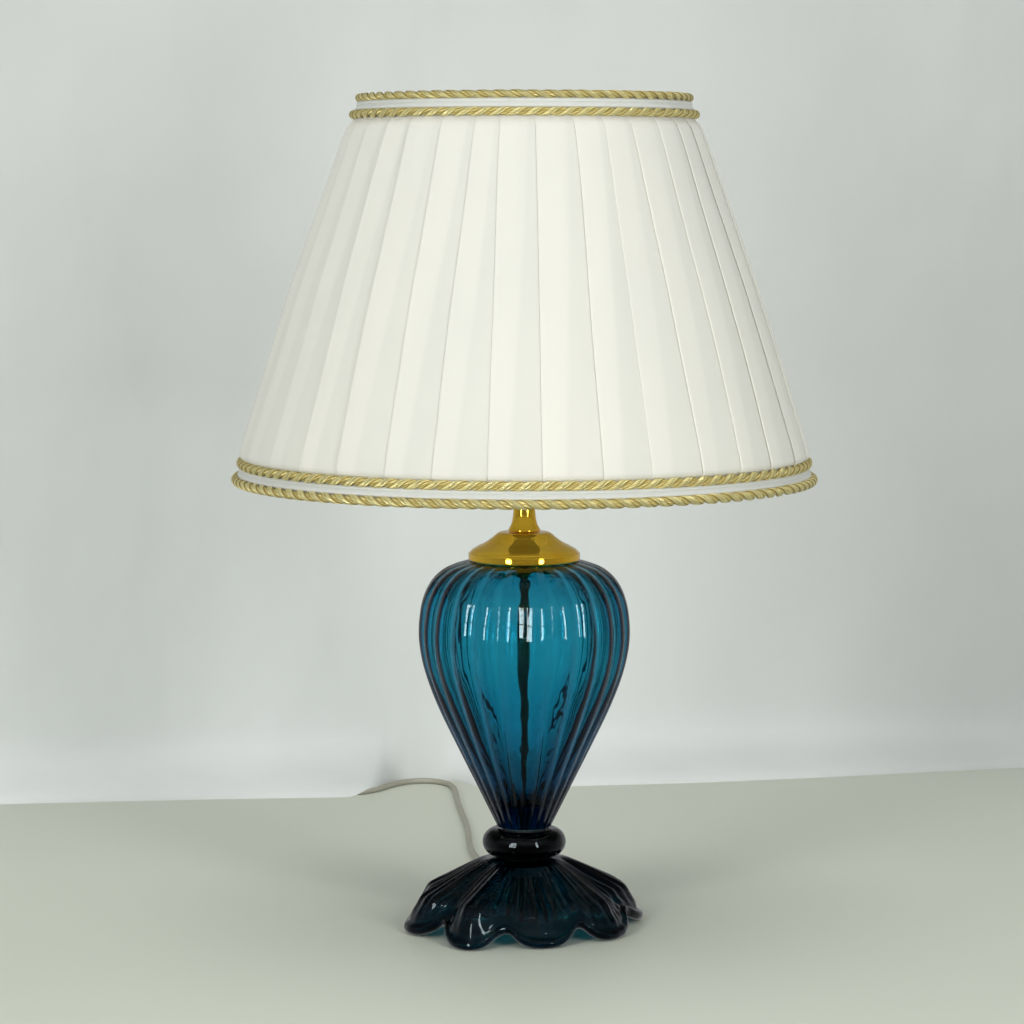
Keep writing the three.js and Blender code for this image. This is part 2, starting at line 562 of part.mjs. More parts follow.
// The rocker rests tipped to its off side.
const ROCKER_TILT = THREE.MathUtils.degToRad(9);
const rockerOutline = [[-10, -1.5], [10, -1.5], [10, 2.4], ...arc([0, 22.4], 22, -63, -117, 6), [-10, 2.4]];
const rocker = cut(
  plate(rockerOutline, ROCKER_WIDTH).rotateX(Math.PI / 2).translate(0, ROCKER_WIDTH / 2, 0),
  cylinder(1.3, -10, 10, 12).rotateX(Math.PI / 2),
);
const rockerMesh = add('switch_rocker', rocker.rotateY(-ROCKER_TILT), blackPlastic, switchGroup);
rockerMesh.position.set(0, 0, ROCKER_AXIS);
add('switch_pin', cylinder(1, -7.5, 7.5, 10).rotateX(Math.PI / 2), zincSteel, switchGroup)
  .position.set(0, 0, ROCKER_AXIS);
for (const [side, x] of [['left', -20], ['right', 20]]) {
  add(`switch_screw_${side}`, turned([
    [0, 2.1], [1.3, 2.1], [1.3, 6], [2.4, 6], [2.4, 7.4], [0, 7.4],
  ], 10, false), zincSteel, switchGroup).position.set(x, 5.6, 0);
}
add('switch_contacts', block(-7, 7, -3, 3, 2.2, 5), brass, switchGroup);

// ---- Two-pin plug ----

const [plugX, plugY, plugZ] = PLUG_FACE;
const PLUG_LENGTH = 36;
const plug = new THREE.Group();
plug.position.set(plugX, plugY, plugZ);
plug.rotation.y = Math.PI / 2; // the plug's own Z runs from the pins' face to the lead
lamp.add(plug);
const plugShoulder = roundedBox(13.4, 34.6, 5);
add('plug_body', join(
  plate(plugShoulder, 24),
  plate(roundedBox(12, 22, 5), PLUG_LENGTH - 23.5).translate(0, 0, 23.5),
), leadPlastic, plug);
add('plug_relief', turned([
  [0, 0], [4.6, 0], [4.2, 4], [2.8, 22.8], [0, 22.8],
], 12, false), leadPlastic, plug).position.set(0, 0, PLUG_LENGTH + GAP);
for (const [side, y] of [['left', -9.3], ['right', 9.3]]) {
  add(`plug_pin_${side}`, turned([
    [0, -19], [1.2, -19], [2, -18.2], [2, -GAP], [0, -GAP],
  ], 12, false), brass, plug).position.set(0, y, 0);
}

export default lamp;
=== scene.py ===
"""A ribbed glass table lamp with a pleated shade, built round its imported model.

Outlines and routes are written in millimetres and scaled to metres as they are made. +Z is up, the
lamp stands on z = 0 with its axis on the origin, and -Y is its front.
"""

import math
import random

import bmesh
import bpy
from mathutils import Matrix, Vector, noise


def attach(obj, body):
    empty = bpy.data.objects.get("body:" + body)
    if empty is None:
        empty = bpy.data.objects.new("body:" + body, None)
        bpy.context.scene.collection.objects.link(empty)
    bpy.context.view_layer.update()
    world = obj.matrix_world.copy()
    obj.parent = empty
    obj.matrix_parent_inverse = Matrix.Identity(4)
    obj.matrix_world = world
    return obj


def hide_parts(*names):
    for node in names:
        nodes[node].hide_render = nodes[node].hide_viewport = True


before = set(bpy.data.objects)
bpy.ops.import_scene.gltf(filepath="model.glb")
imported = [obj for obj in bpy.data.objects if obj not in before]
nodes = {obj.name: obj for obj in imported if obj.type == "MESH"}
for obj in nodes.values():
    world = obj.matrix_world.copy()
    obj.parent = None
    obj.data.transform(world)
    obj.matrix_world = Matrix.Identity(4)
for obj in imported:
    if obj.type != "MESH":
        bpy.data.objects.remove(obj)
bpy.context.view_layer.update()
dice = random.Random(7)

MM = 0.001
TAU = 2 * math.pi
FRONT = -math.pi / 2  # the angle round Z that faces the camera

# Driving sizes, in millimetres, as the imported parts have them.
RIBS = 24
BODY_BOTTOM = 62.2
BODY_TOP = 225.6
BODY_WIDEST = 64.6
GLASS_HOLE = 5.8
KNOP_HEIGHT = 52.4
KNOP_RADIUS = 25.6
KNOP_ROUND = 8.4
FOOT_TOP = 42.8
FOOT_CROWN_RADIUS = 22
CAP_RADIUS = 33.9
CAP_BOTTOM = 226.1
NECK_BOTTOM = 243.5
NECK_TOP = 268
SHADE_BOTTOM = 275.2
SHADE_TOP = 505
LINER_BOTTOM_RADIUS = 169.6
LINER_TOP_RADIUS = 94.9
PLEATS = 34
TRIM_STAND_OFF = 5.3  # from the liner to the middle of a twisted cord
TRIM_SPACING = 10
CORD_RADIUS = 2
COIL_MIDDLE = (-2, 543)


# ---- Nodes and materials ----

def add_node(material, kind, inputs=None, **settings):
    """A new node of the material, with its properties and its inputs set."""
    made = material.node_tree.nodes.new(kind)
    for key, value in settings.items():
        setattr(made, key, value)
    for key, value in (inputs or {}).items():
        made.inputs[key].default_value = value
    return made


def join_nodes(material, source, target):
    material.node_tree.links.new(source, target)


def new_material(name, color, roughness, metallic=0.0, **inputs):
    """A Principled material; returns it with its shader."""
    material = bpy.data.materials.new(name)
    material.use_nodes = True
    shader = material.node_tree.nodes["Principled BSDF"]
    shader.inputs["Base Color"].default_value = (*color, 1)
    shader.inputs["Roughness"].default_value = roughness
    shader.inputs["Metallic"].default_value = metallic
    for key, value in inputs.items():
        shader.inputs[key.replace("_", " ")].default_value = value
    return material, shader


def place(material, kind="Object"):
    """The surface's own coordinates: in metres, or its UV."""
    return add_node(material, "ShaderNodeTexCoord").outputs[kind]


def stretched(material, source, scale):
    """Texture coordinates scaled along each axis."""
    mapping = add_node(material, "ShaderNodeMapping", {"Scale": scale})
    join_nodes(material, source, mapping.inputs["Vector"])
    return mapping.outputs["Vector"]


def noise_of(material, vector, scale, detail=3.0, roughness=0.5):
    made = add_node(material, "ShaderNodeTexNoise",
                    {"Scale": scale, "Detail": detail, "Roughness": roughness})
    join_nodes(material, vector, made.inputs["Vector"])
    return made.outputs["Fac"]


def ramp(material, factor, stops):
    """A colour ramp through (place, colour) stops."""
    made = add_node(material, "ShaderNodeValToRGB")
    elements = made.color_ramp.elements
    while len(elements) < len(stops):
        elements.new(0.5)
    for element, (position, color) in zip(elements, stops):
        element.position = position
        element.color = (*color, 1)
    join_nodes(material, factor, made.inputs["Fac"])
    return made.outputs["Color"]


def spread(material, factor, low, high, start=0.0, end=1.0):
    """A number that goes from low to high as the factor goes from start to end."""
    made = add_node(material, "ShaderNodeMapRange",
                    {"From Min": start, "From Max": end, "To Min": low, "To Max": high})
    join_nodes(material, factor, made.inputs["Value"])
    return made.outputs["Result"]


def axes_of(material, vector):
    """A vector's X, Y and Z, by name."""
    made = add_node(material, "ShaderNodeSeparateXYZ")
    join_nodes(material, vector, made.inputs["Vector"])
    return made.outputs


def combined(material, operation, first, second):
    """Two numbers put together by a Math node."""
    made = add_node(material, "ShaderNodeMath", operation=operation)
    join_nodes(material, first, made.inputs[0])
    join_nodes(material, second, made.inputs[1])
    return made.outputs[0]


def mixed(material, first, second, factor=None, blend_type="MIX"):
    """Two colours blended by the factor, or in full."""
    made = add_node(material, "ShaderNodeMix", {"Factor": 1.0}, data_type="RGBA",
                    blend_type=blend_type)
    join_nodes(material, first, made.inputs[6])
    join_nodes(material, second, made.inputs[7])
    if factor is not None:
        join_nodes(material, factor, made.inputs["Factor"])
    return made.outputs[2]


def stripes(material, vector, direction, scale=1.0, distortion=0.0, wander=1.0):
    """Soft stripes that follow one another in the direction."""
    made = add_node(material, "ShaderNodeTexWave",
                    {"Scale": scale, "Distortion": distortion, "Detail Scale": wander},
                    bands_direction=direction)
    join_nodes(material, vector, made.inputs["Vector"])
    return made.outputs["Fac"]


def bumped(material, shader, height, depth, strength=1.0, before=None):
    """Puts a bump of that depth in metres on the shader, over an earlier bump if there is one."""
    made = add_node(material, "ShaderNodeBump", {"Strength": strength, "Distance": depth})
    join_nodes(material, height, made.inputs["Height"])
    if before is not None:
        join_nodes(material, before, made.inputs["Normal"])
    join_nodes(material, made.outputs["Normal"], shader.inputs["Normal"])
    return made.outputs["Normal"]


def shader_mix(material, first, second):
    """Shows two shaders mixed; returns the input for the second one's share."""
    mix = add_node(material, "ShaderNodeMixShader")
    join_nodes(material, first.outputs[0], mix.inputs[1])
    join_nodes(material, second.outputs[0], mix.inputs[2])
    output = material.node_tree.nodes["Material Output"]
    join_nodes(material, mix.outputs[0], output.inputs["Surface"])
    return mix.inputs["Fac"]


def see_through(material, shader, color, share):
    """Lets that share of the light pass through, scattered."""
    glow = add_node(material, "ShaderNodeBsdfTranslucent")
    join_nodes(material, color, glow.inputs["Color"])
    shader_mix(material, shader, glow).default_value = share


def glass_material(name, absorbs, density, waviness, mirrored):
    """Clear glass coloured by what its thickness absorbs, with the faint waves of blown work.
    Density is per metre, and waviness is the waves' depth in metres."""
    material, shader = new_material(name, (1, 1, 1), 0.0, Transmission_Weight=1.0, IOR=1.5,
                                    Specular_Tint=(*mirrored, 1))
    tint = add_node(material, "ShaderNodeVolumeAbsorption",
                    {"Color": (*absorbs, 1), "Density": density})
    output = material.node_tree.nodes["Material Output"]
    join_nodes(material, tint.outputs["Volume"], output.inputs["Volume"])
    waves = noise_of(material, stretched(material, place(material), (1, 1, 0.3)), 38, 2)
    first = bumped(material, shader, waves, waviness)
    streaks = noise_of(material, stretched(material, place(material), (1, 1, 0.06)), 150, 1)
    bumped(material, shader, streaks, 0.0003, 1, first)
    return material


def teal_glass():
    return glass_material("teal_glass", (0.13, 0.76, 0.84), 640, 0.0002, (0.75, 0.9, 0.94))


def dark_glass():
    return glass_material("dark_glass", (0.08, 0.68, 0.735), 1450, 0.001, (0.42, 0.5, 0.54))


def polished_brass():
    """Lacquered brass with fine turning marks and a faint change of tone."""
    material, shader = new_material("polished_brass", (1.0, 0.60, 0.04), 0.06, 0.75)
    clouds = noise_of(material, place(material), 60, 4)
    tone = ramp(material, clouds, [(0.3, (1.0, 0.56, 0.03)), (0.7, (1.0, 0.65, 0.06))])
    join_nodes(material, tone, shader.inputs["Base Color"])
    scratches = noise_of(material, stretched(material, place(material), (1, 1, 18)), 260, 3)
    join_nodes(material, spread(material, scratches, 0.03, 0.09), shader.inputs["Roughness"])
    bumped(material, shader, scratches, 0.00001, 0.3)
    return material


def threaded_brass():
    """The tube inside the glass: brass with the ridges of its thread, painted near black for its shade.
    """
    material, shader = new_material("threaded_brass", (0.06, 0.045, 0.02), 0.25, 1.0)
    thread = stripes(material, place(material), "Z", 160, 0.3)
    stain_and_painted_shade = noise_of(material, place(material), 90, 4)
    # Painted shade: near-black colours, far darker than brass, for the shade the tube stands in.
    tone = ramp(material, stain_and_painted_shade, [(0.35, (0.03, 0.022, 0.01)), (0.7, (0.09, 0.07, 0.03))])
    join_nodes(material, tone, shader.inputs["Base Color"])
    bumped(material, shader, thread, 0.0003)
    return material


def metal(name, color, roughness):
    """Plated metal with a fine brushed grain."""
    material, shader = new_material(name, color, roughness, 1.0)
    grain = noise_of(material, stretched(material, place(material), (1, 1, 12)), 500, 3)
    join_nodes(material, spread(material, grain, roughness * 0.8, roughness * 1.3),
               shader.inputs["Roughness"])
    bumped(material, shader, grain, 0.00002, 0.5)
    return material


def plastic(name, color, roughness, grain_scale=900, depth=0.00003, **inputs):
    """Moulded plastic or rubber: a fine grain and faint unevenness in tone and gloss."""
    material, shader = new_material(name, color, roughness, **inputs)
    grain = noise_of(material, place(material), grain_scale, 2)
    clouds = noise_of(material, place(material), 45, 3)
    dark = tuple(c * 0.92 for c in color)
    light = tuple(min(1, c * 1.06) for c in color)
    tone = ramp(material, clouds, [(0.3, dark), (0.7, light)])
    join_nodes(material, tone, shader.inputs["Base Color"])
    join_nodes(material, spread(material, clouds, roughness * 0.85, roughness * 1.15),
               shader.inputs["Roughness"])
    bumped(material, shader, grain, depth)
    return material


WARP_COUNT = 40  # stripes for each pleat
WEFT_COUNT = 340  # stripes for the shade's height


def pleated_fabric():
    """Ivory shade cloth. Its first UV runs from a fold's edge, 0, to the next, 1, and on under it.
    Painted light and shade make the cloth whiter where the fold's own layers lie behind it and greyer
    over one layer."""
    material, shader = new_material("pleated_fabric", (0.9, 0.89, 0.83), 0.75, Sheen_Weight=0.25)
    pleat = axes_of(material, place(material, "UV"))
    # Where the hidden fold ends, as a share of the pleat: narrow at the foot, wide at the top.
    reach = spread(material, pleat["Y"], *UNDERLAP_SHARE)
    past = combined(material, "SUBTRACT", pleat["X"], reach)
    # Painted light and shade: whiter over the hidden fold, greyer past its end.
    tone = ramp(material, spread(material, past, 0.5, 1.5),
                [(0.43, (0.945, 0.935, 0.875)), (0.59, (0.875, 0.872, 0.815))])
    clouds = noise_of(material, stretched(material, place(material), (1, 1, 0.4)), 14, 3)
    cloudy = ramp(material, clouds, [(0.3, (0.955, 0.96, 0.97)), (0.7, (1.0, 1.0, 1.0))])
    color = mixed(material, tone, cloudy, blend_type="MULTIPLY")
    join_nodes(material, color, shader.inputs["Base Color"])
    # Warp and weft, as fine threads along and across the pleats.
    warp = stretched(material, place(material, "UV"), (WARP_COUNT, 1, 1))
    weft = stretched(material, place(material, "UV"), (1, WEFT_COUNT, 1))
    weave = combined(material, "ADD", stripes(material, warp, "X", 1.0, 1.2, 2.0),
                     stripes(material, weft, "Y", 1.0, 1.2, 2.0))
    soft = bumped(material, shader, clouds, 0.0008, 0.35)
    bumped(material, shader, weave, 0.00006, 0.5, soft)
    see_through(material, shader, color, 0.3)
    return material


def gold_yarn():
    """Twisted metallic yarn: fine threads that run along each strand, and painted shade towards the
    grooves.
    """
    material, shader = new_material("gold_yarn", (0.95, 0.78, 0.36), 0.3, 0.5)
    threads = stripes(material, stretched(material, place(material, "UV"), (7, 6, 1)), "DIAGONAL",
                      1.0, 0.6)
    tone = ramp(material, threads, [(0.1, (0.76, 0.62, 0.20)), (0.5, (1.0, 0.93, 0.50))])
    side = axes_of(material, add_node(material, "ShaderNodeUVMap", uv_map="groove").outputs["UV"])
    # Painted shade: the yarn darkens towards the grooves where the two strands meet.
    depth = ramp(material, side["Y"],
                 [(0.86, (1, 1, 1)), (0.955, (0.6, 0.5, 0.3)), (1.0, (0.25, 0.18, 0.08))])
    color = mixed(material, tone, depth, blend_type="MULTIPLY")
    join_nodes(material, color, shader.inputs["Base Color"])
    bumped(material, shader, threads, 0.0003)
    return material


def woven_tape():
    """White tape with fine threads across it."""
    material, shader = new_material("woven_tape", (0.64, 0.66, 0.64), 0.6, Sheen_Weight=0.2)
    ribs = stripes(material, stretched(material, place(material, "UV"), (330, 1, 1)), "X")
    tone = ramp(material, ribs, [(0.0, (0.56, 0.58, 0.56)), (1.0, (0.70, 0.72, 0.70))])
    join_nodes(material, tone, shader.inputs["Base Color"])
    bumped(material, shader, ribs, 0.0001)
    return material


def liner_film():
    """Matt film behind the cloth, which lets some light through."""
    material, shader = new_material("liner_film", (0.88, 0.87, 0.83), 0.6)
    clouds = noise_of(material, place(material), 25, 3)
    tone = ramp(material, clouds, [(0.3, (0.86, 0.85, 0.80)), (0.7, (0.91, 0.90, 0.87))])
    join_nodes(material, tone, shader.inputs["Base Color"])
    bumped(material, shader, noise_of(material, place(material), 600, 2), 0.00002)
    see_through(material, shader, tone, 0.4)
    return material


# ---- Shapes ----

def smooth(points, count):
    """count + 1 points spread along a smooth line through the given ones."""
    knots = [Vector(p) for p in points]
    at = [0.0]
    for a, b in zip(knots, knots[1:]):
        at.append(at[-1] + (b - a).length)
    last = len(knots) - 1
    slopes = []
    for i in range(last + 1):
        low, high = max(i - 1, 0), min(i + 1, last)
        slopes.append((knots[high] - knots[low]) / (at[high] - at[low]))
    made = []
    span = 0
    for step in range(count + 1):
        t = at[-1] * step / count
        while span < last - 1 and t > at[span + 1]:
            span += 1
        width = at[span + 1] - at[span]
        s = min((t - at[span]) / width, 1.0)
        made.append(
            (2 * s**3 - 3 * s**2 + 1) * knots[span] + (s**3 - 2 * s**2 + s) * width * slopes[span]
            + (3 * s**2 - 2 * s**3) * knots[span + 1] + (s**3 - s**2) * width * slopes[span + 1]
        )
    return [tuple(p) for p in made]


def arc(middle, radius, start, end, steps):
    """Points of an arc, from one angle to another in degrees."""
    angles = [math.radians(start + (end - start) * i / steps) for i in range(steps + 1)]
    return [(middle[0] + radius * math.cos(a), middle[1] + radius * math.sin(a)) for a in angles]


def mesh_object(name, vertices, faces, material, crease=40, outward=True):
    """A smooth-shaded object; edges sharper than crease, in degrees, stay sharp."""
    mesh = bpy.data.meshes.new(name)
    mesh.from_pydata([tuple(c * MM for c in v) for v in vertices], [], faces)
    mesh.materials.append(material)
    if outward:
        work = bmesh.new()
        work.from_mesh(mesh)
        bmesh.ops.recalc_face_normals(work, faces=work.faces)
        work.to_mesh(mesh)
        work.free()
    mesh.shade_smooth()
    mesh.set_sharp_from_angle(angle=math.radians(crease))
    made = bpy.data.objects.new(name, mesh)
    bpy.context.scene.collection.objects.link(made)
    return made


def ring_faces(rings, count, wraps=True):
    """The faces between rings of count points each; wraps joins the last ring to the first."""
    faces = []
    for j in range(rings if wraps else rings - 1):
        near, far = j * count, ((j + 1) % rings) * count
        for i in range(count):
            up = (i + 1) % count
            faces.append((near + i, far + i, far + up, near + up))
    return faces


def swept(segments, section_at):
    """The points of a section that changes with the angle, taken round Z."""
    vertices = []
    for j in range(segments):
        angle = TAU * j / segments
        vertices += [(r * math.cos(angle), r * math.sin(angle), z) for r, z in section_at(angle)]
    return vertices


def loft(name, segments, section_at, material, crease=40):
    """A solid ring whose closed section changes with the angle round Z."""
    vertices = swept(segments, section_at)
    faces = ring_faces(segments, len(vertices) // segments)
    return mesh_object(name, vertices, faces, material, crease)


def turned(name, profile, segments, material, crease=40):
    """A solid turned about Z from (radius, height) points. A profile that starts and ends on the axis
    is closed there, and any other closes on itself."""
    if profile[0][0] != 0 or profile[-1][0] != 0:
        return loft(name, segments, lambda angle: profile, material, crease)
    inner = profile[1:-1]
    count = len(inner)
    vertices = swept(segments, lambda angle: inner)
    faces = []
    for j in range(segments):
        near, far = j * count, ((j + 1) % segments) * count
        faces += [(near + i, far + i, far + i + 1, near + i + 1) for i in range(count - 1)]
    for end, row in ((profile[0], 0), (profile[-1], count - 1)):
        vertices.append((0, 0, end[1]))
        middle = len(vertices) - 1
        faces += [(middle, j * count + row, ((j + 1) % segments) * count + row)
                  for j in range(segments)]
    return mesh_object(name, vertices, faces, material, crease)


def finish_piece(piece, body, slot, *replaced):
    """Gives a piece its body and hides the CAD nodes that it stands for. The slot is not used."""
    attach(piece, body)
    if replaced:
        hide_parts(*replaced)
    return piece


def softened(name, material, body, slot, width, rounds=3):
    """Stands a copy of a CAD part in for it, with its hard edges rounded off."""
    copy = nodes[name].copy()
    copy.data = nodes[name].data.copy()
    copy.name = name + "_rounded"
    bpy.context.scene.collection.objects.link(copy)
    for key in list(copy.keys()):
        del copy[key]
    copy.parent = None
    work = bmesh.new()
    work.from_mesh(copy.data)
    bmesh.ops.remove_doubles(work, verts=work.verts, dist=0.00001)
    bmesh.ops.dissolve_limit(work, angle_limit=math.radians(2), verts=work.verts, edges=work.edges)
    work.to_mesh(copy.data)
    work.free()
    bevel = copy.modifiers.new("edges", "BEVEL")
    bevel.width = width * MM
    bevel.segments = rounds
    bevel.limit_method = "ANGLE"
    bevel.angle_limit = math.radians(35)
    copy.data.materials.clear()
    copy.data.materials.append(material)
    copy.data.shade_smooth()
    return finish_piece(copy, body, slot, name)


# ---- Camera ----

SENSOR_WIDTH = 36  # millimetres, as the lens is
LENS = 116.34
CAMERA_PLACE = (-0.00746, -2.0, 0.451)
CAMERA_TILT = 84.406  # degrees up from straight down


def make_camera():
    data = bpy.data.cameras.new("camera")
    data.sensor_width = SENSOR_WIDTH
    data.lens = LENS
    camera = bpy.data.objects.new("camera", data)
    camera.location = CAMERA_PLACE
    camera.rotation_euler = (math.radians(CAMERA_TILT), 0, 0)
    bpy.context.scene.collection.objects.link(camera)
    bpy.context.scene.camera = camera


# ---- Lead ----

LEAD_ROUTE = [
    (0, 38.6, 10.0), (0, 50, 8.3), (-0.5, 62, 6.3), (-2, 76, 4.0), (-5, 92, 2.5),
    (-10, 112, 2.1), (-20, 148, 2.1), (-29, 182, 2.1), (-35, 216, 2.1), (-37, 252, 2.1),
    (-38, 290, 2.1), (-41, 330, 2.1), (-45, 370, 2.1), (-48, 410, 2.1), (-49.5, 440, 2.1),
    (-51.5, 462, 2.1), (-58, 480, 2.1), (-73.5, 487.8, 2.1), (-89, 482.5, 2.1), (-99.5, 467.5, 2.1),
    (-108, 450, 2.1), (-121, 437, 2.1), (-137.5, 434, 2.1), (-151, 443.5, 2.1), (-156.5, 461, 2.1),
    (-154, 481, 2.1), (-145, 498.5, 2.2), (-131, 509.5, 3.4), (-114.5, 513, 5.5),
]
TAIL_ROUTE = [
    (-55.5, 513, 5.5), (-46, 513, 4.6), (-36, 513, 3.2), (-26, 512.8, 2.8), (-17.2, 512.8, 2.8),
]
END_ROUTE = [(-17.2, 573.2, 6.9), (-28, 573.1, 6.9), (-38.4, 573, 7)]
COIL_OUTSIDE = 29.4  # radius of the outermost turn's middle
COIL_INSIDE = 17
COIL_TURNS = 3  # in each of two layers
COIL_STEPS = 16  # for each turn
COIL_LAYERS = (2.8, 6.9)  # the heights of their middles


def coil_route():
    """Inward on the lower layer, half a turn up, and outward on the upper one."""
    route = []

    def add(turn, radius, z):
        angle = FRONT + TAU * turn
        route.append((COIL_MIDDLE[0] + radius * math.cos(angle),
                      COIL_MIDDLE[1] + radius * math.sin(angle), z))

    fall = (COIL_OUTSIDE - COIL_INSIDE) / COIL_TURNS
    low, high = COIL_LAYERS
    for i in range(COIL_TURNS * COIL_STEPS + 1):
        add(i / COIL_STEPS, COIL_OUTSIDE - fall * i / COIL_STEPS, low)
    for i in range(1, COIL_STEPS // 2):
        share = i / (COIL_STEPS // 2)
        rise = low + (high - low) * (0.5 - 0.5 * math.cos(math.pi * share))
        add(COIL_TURNS + i / COIL_STEPS, COIL_INSIDE, rise)
    for i in range(COIL_TURNS * COIL_STEPS + 1):
        add(COIL_TURNS + 0.5 + i / COIL_STEPS, COIL_INSIDE + fall * i / COIL_STEPS, high)
    return route


def lead_curve(name, route, material):
    """A round lead along a route in millimetres."""
    curve = bpy.data.curves.new(name, "CURVE")
    curve.dimensions = "3D"
    curve.bevel_depth = CORD_RADIUS * MM
    curve.bevel_resolution = 5
    curve.use_fill_caps = True
    curve.materials.append(material)
    spline = curve.splines.new("NURBS")
    spline.points.add(len(route) - 1)
    for point, place_mm in zip(spline.points, route):
        point.co = (*(c * MM for c in place_mm), 1)
    spline.order_u = 4
    spline.use_endpoint_u = True
    spline.resolution_u = 8
    made = bpy.data.objects.new(name, curve)
    bpy.context.scene.collection.objects.link(made)
    return made


def make_leads():
    sheath = plastic("lead_sheath", (0.35, 0.34, 0.28), 0.42, 700, 0.00004)
    near = lead_curve("lead", LEAD_ROUTE, sheath)
    finish_piece(near, "base", "lead_plastic", "cord_lead")
    switch = [softened("switch_base", lead_plastic, "base", "lead_plastic", 0.8),
              softened("switch_cover", lead_plastic, "base", "lead_plastic", 1.0),
              softened("switch_rocker", black_plastic, "rocker", "black_plastic", 0.5)]
    plug = softened("plug_body", lead_plastic, "base", "lead_plastic", 1.6, 4)
    route = TAIL_ROUTE + coil_route() + END_ROUTE
    far = lead_curve("lead_coiled", route, sheath)
    finish_piece(far, "base", "lead_plastic", "cord_tail", "cord_coil", "cord_end")


lead_plastic = plastic("lead_moulding", (0.42, 0.405, 0.34), 0.4)
black_plastic = plastic("black_moulding", (0.02, 0.02, 0.022), 0.42)
make_camera()
make_leads()

# ---- Glass ----

BODY_OUTSIDE = [
    (16.4, BODY_BOTTOM), (19.8, 69), (29.1, 87.9), (41.4, 112.7), (53.2, 137.5), (60.5, 157.3),
    (64, 173), (BODY_WIDEST, 186), (62.3, 201.5), (56.6, 213.2), (47.6, 221), (34, BODY_TOP),
]
BODY_INSIDE = [
    (22, 221.4), (33, 221), (45, 217.2), (53, 210), (58.2, 200.4), (60.4, 186), (59.8, 173),
    (56.2, 158), (47.8, 138.4), (35.4, 114.2), (21.8, 91), (14.5, 81), (9, 77.8),
]
BODY_FLOOR = 77.4  # the hollow's bottom, round the tube
RIB_DEPTH = 2.1  # at the widest
INSIDE_RIBS = (0.88, 0.97)  # the inside's ribs as a share of the outside's, low down and high up
INSIDE_CHANGES = (95, 170)  # the heights between which the one share becomes the other
RIB_WANDER = 0.022  # radians
BODY_SWELL = 0.18  # how uneven the blown form is
FLUTE_ROUND = 0.03  # how blunt a flute's bottom is


def flute(angle):
    """How deep the glass is drawn in, from 0 on a rib's round crest to 1 in a narrow flute."""
    wave = math.sin(RIBS / 2 * (angle - FRONT))
    least, most = math.sqrt(FLUTE_ROUND), math.sqrt(1 + FLUTE_ROUND)
    return 1 - (math.sqrt(wave * wave + FLUTE_ROUND) - least) / (most - least)


def ribbed(points, angle, low_share, high_share):
    """A profile of the body drawn in at the flutes, with the wander of hand work."""
    low, high = INSIDE_CHANGES
    made = []
    for radius, z in points:
        risen = min(1, max(0, (z - low) / (high - low)))
        share = low_share + (high_share - low_share) * risen
        wander = RIB_WANDER * noise.noise(Vector((math.cos(angle), math.sin(angle), z / 45)))
        depth = share * RIB_DEPTH * radius / BODY_WIDEST * flute(angle + wander)
        swell = BODY_SWELL * noise.noise(Vector((2 * math.cos(angle), 2 * math.sin(angle), z / 30)))
        made.append((radius - depth + swell * radius / BODY_WIDEST, z))
    return made


def make_body(material):
    outside = smooth(BODY_OUTSIDE, 74)
    inside = smooth(BODY_INSIDE, 60)

    def section(angle):
        return [(GLASS_HOLE, BODY_BOTTOM), *ribbed(outside, angle, 1, 1),
                (21, BODY_TOP), (20, BODY_TOP - 1), (20, BODY_TOP - 3),
                *ribbed(inside, angle, *INSIDE_RIBS), (GLASS_HOLE, BODY_FLOOR)]

    body = loft("ribbed_body", RIBS * 16, section, material, 60)
    finish_piece(body, "base", "teal_glass", "glass_body")


def make_knop(material):
    seat = 12.5  # radius of the flats on which the washers lie
    low = KNOP_HEIGHT - KNOP_ROUND + 0.4
    high = KNOP_HEIGHT + KNOP_ROUND - 0.4
    profile = [(GLASS_HOLE, low), (seat, low),
               *arc((KNOP_RADIUS - KNOP_ROUND, KNOP_HEIGHT), KNOP_ROUND, -90, 90, 28),
               (seat, high), (GLASS_HOLE, high)]
    knop = turned("round_knop", profile, 112, material, 50)
    finish_piece(knop, "base", "dark_glass", "glass_knop")


# Each lobe's place round the foot and its reach, and the arch after it with its reach and rise.
LOBES = [
    (21, 77, 42, 64, 12), (64, 73, 91, 62, 13), (118, 73, 137, 62, 11), (157, 74, 177, 63, 11),
    (197, 76, 221, 62, 12), (243, 80, 259, 63, 12.5), (281, 68, 303, 60, 13), (324, 70, 352, 62, 11),
]
# The skirt's fall, as (share of the way out, share of the height).
SKIRT = [(0, 1), (0.16, 0.9), (0.6, 0.57), (0.84, 0.38), (0.96, 0.18), (1, 0)]
FOOT_WALL = 4.2
RIM_ROUND = 3.0
FINE_RIBS = 54
FINE_RIB_HEIGHT = 0.5
RIPPLE = 2.6  # how uneven the skirt is
LIP = 1.4  # how far the skirt dips inside the rim's roll
LOBE_SWELL = 4.2  # how far the skirt bulges at a lobe, and sinks at an arch
MIDDLE_REACH = 68  # the rim's reach where it does neither


def sharp_rim(degrees):
    """The rim's reach and height, with a peak in each arch."""
    marks = []
    for lobe, reach, arch, arch_reach, rise in LOBES:
        marks += [(lobe, reach, 0), (arch, arch_reach, rise)]
    degrees %= 360
    after = next((i for i, mark in enumerate(marks) if mark[0] > degrees), 0)
    upper, lower = marks[after], marks[after - 1]
    share = ((degrees - lower[0]) % 360) / ((upper[0] - lower[0]) % 360)
    lobe, arch, away = (lower, upper, share) if lower[2] == 0 else (upper, lower, 1 - share)
    return lobe[1] + (arch[1] - lobe[1]) * away**2, arch[2] * away**3


def rim_at(angle):
    """The rim's reach and height, with the arches' tops rounded."""
    degrees = math.degrees(angle)
    taps = [sharp_rim(degrees + shift) for shift in (-4, -2, 0, 2, 4)]
    return sum(t[0] for t in taps) / len(taps), sum(t[1] for t in taps) / len(taps)


